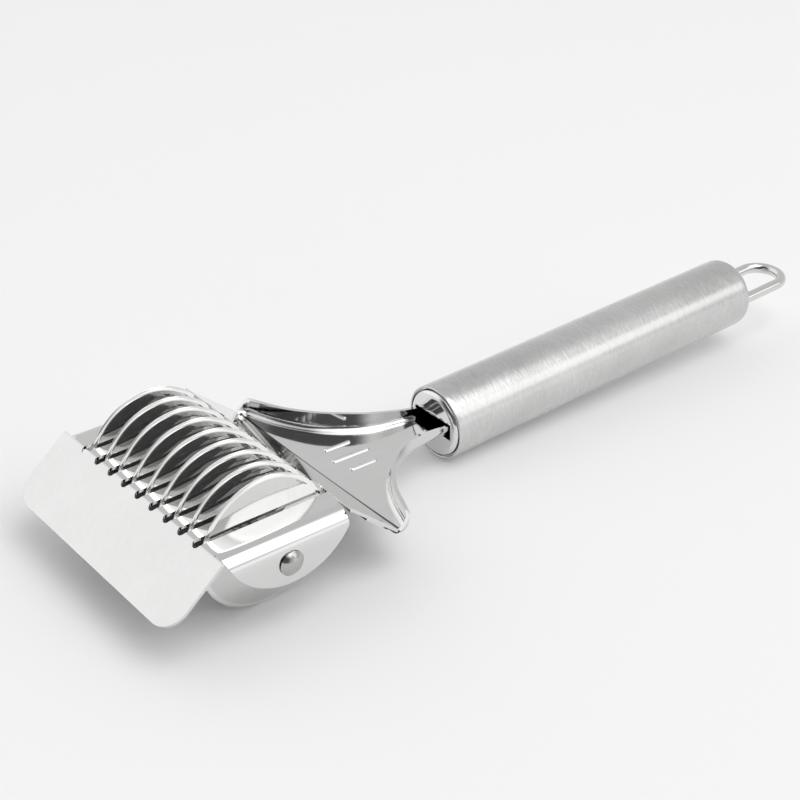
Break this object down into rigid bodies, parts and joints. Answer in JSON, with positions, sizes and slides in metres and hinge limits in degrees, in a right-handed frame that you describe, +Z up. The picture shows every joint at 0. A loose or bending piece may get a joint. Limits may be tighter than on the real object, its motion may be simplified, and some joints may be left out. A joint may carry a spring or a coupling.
{
  "type": "dough strip roller cutter",
  "caption": "Hand roller with a row of bevelled round discs in a slotted folded housing, stamped neck, tubular handle and hanging loop, for cutting dough into even strips.",
  "frame": {"origin": "centre of the bounding box in plan, on the surface the discs stand on", "axes": "+X along the roller's pin, +Y from the cutting head towards the hanging loop, +Z up with the tool resting on its discs"},
  "size_m": [0.079, 0.2606, 0.037],
  "materials": {
    "polished_sheet": "mirror-polished stainless sheet",
    "disc_steel": "fine satin faces with a ground bevel",
    "spacer_steel": "plain turned tube",
    "pin_steel": "polished, with domed riveted ends",
    "satin_tube": "satin, brushed around the tube",
    "wire_steel": "polished wire"
  },
  "bodies": {
    "frame": {"housing": "polished_sheet", "axle_pin": "pin_steel", "neck_bracket": "polished_sheet", "handle_tube": "satin_tube", "handle_cap": "polished_sheet", "hang_loop": "wire_steel"},
    "roller": {"cutter_disc_1": "disc_steel", "cutter_disc_2": "disc_steel", "cutter_disc_3": "disc_steel", "cutter_disc_4": "disc_steel", "cutter_disc_5": "disc_steel", "cutter_disc_6": "disc_steel", "cutter_disc_7": "disc_steel", "cutter_disc_8": "disc_steel", "cutter_disc_9": "disc_steel", "spacer_1": "spacer_steel", "spacer_2": "spacer_steel", "spacer_3": "spacer_steel", "spacer_4": "spacer_steel", "spacer_5": "spacer_steel", "spacer_6": "spacer_steel", "spacer_7": "spacer_steel", "spacer_8": "spacer_steel", "end_spacer_left": "spacer_steel", "end_spacer_right": "spacer_steel"}
  },
  "joints": [
    {"name": "roller_spin", "type": "hinge", "parent": "frame", "child": "roller", "pos_m": [0, -0.09551, 0.0185], "axis": [1, 0, 0], "continuous": true}
  ]
}
